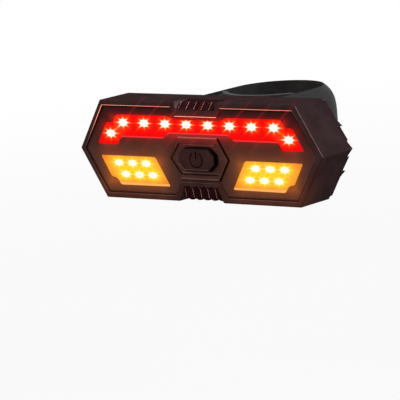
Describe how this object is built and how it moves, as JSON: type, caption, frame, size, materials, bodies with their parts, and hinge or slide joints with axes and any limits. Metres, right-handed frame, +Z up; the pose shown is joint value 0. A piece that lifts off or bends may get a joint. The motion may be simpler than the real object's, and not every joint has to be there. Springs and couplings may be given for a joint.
{
  "type": "bicycle turn signal light",
  "caption": "Hexagonal bicycle tail lamp with a stepped red light bar, two amber turn windows and a power button, sliding onto a bracket strapped to a seat post.",
  "frame": {"origin": "on the seat post's axis, at the lamp's mid-height", "axes": "+Z up the post, the lamp faces -Y, +X to the right as seen by someone looking at the lamp"},
  "size_m": [0.096, 0.0632, 0.0316],
  "materials": {
    "housing": "fine spark-eroded black ABS",
    "panel": "satin black polycarbonate",
    "red_window": "clear red polycarbonate",
    "amber_window": "clear amber polycarbonate",
    "baffle": "black",
    "board": "green solder mask on glass fibre",
    "led": "white package with a clear dome",
    "chip": "moulded epoxy",
    "antenna": "plain",
    "switch": "plain",
    "button": "satin",
    "steel": "bright",
    "port_rubber": "matte",
    "cell": "foil pouch",
    "foam": "foam tape",
    "plug": "plain",
    "lead": "silicone insulation",
    "seal": "silicone",
    "bracket": "glass-filled nylon",
    "pad_rubber": "matte",
    "strap_rubber": "silicone, satin"
  },
  "bodies": {
    "bracket": {"bracket": "bracket", "bracket_pad": "pad_rubber", "strap": "strap_rubber"},
    "lamp": {"front_bezel": "housing", "front_panel": "panel", "red_lens": "red_window", "amber_lens_left": "amber_window", "amber_lens_right": "amber_window", "light_baffle": "baffle", "circuit_board": "board", "red_leds": "led", "amber_leds": "led", "control_chips": "chip", "radio_antenna": "antenna", "tact_switch": "switch", "usb_socket": "steel", "battery_cell": "cell", "battery_pad": "foam", "battery_plug": "plug", "battery_leads": "lead", "housing_seal": "seal", "rear_cover": "housing", "case_screws": "steel", "board_screws": "steel"},
    "button": {"power_button": "button", "switch_stem": "switch"},
    "port_flap": {"port_cover": "port_rubber"}
  },
  "joints": [
    {"name": "lamp_slide", "type": "slide", "parent": "bracket", "child": "lamp", "axis": [0, 0, 1], "range_m": [0, 0.026]},
    {"name": "button_press", "type": "slide", "parent": "lamp", "child": "button", "axis": [0, 1, 0], "range_m": [0, 0.0005], "stiffness_N_per_m": 1500},
    {"name": "port_flap_hinge", "type": "hinge", "parent": "lamp", "child": "port_flap", "pos_m": [-0.02688, -0.03102, -0.01495], "axis": [1, 0, 0], "range_deg": [0, 95]}
  ]
}
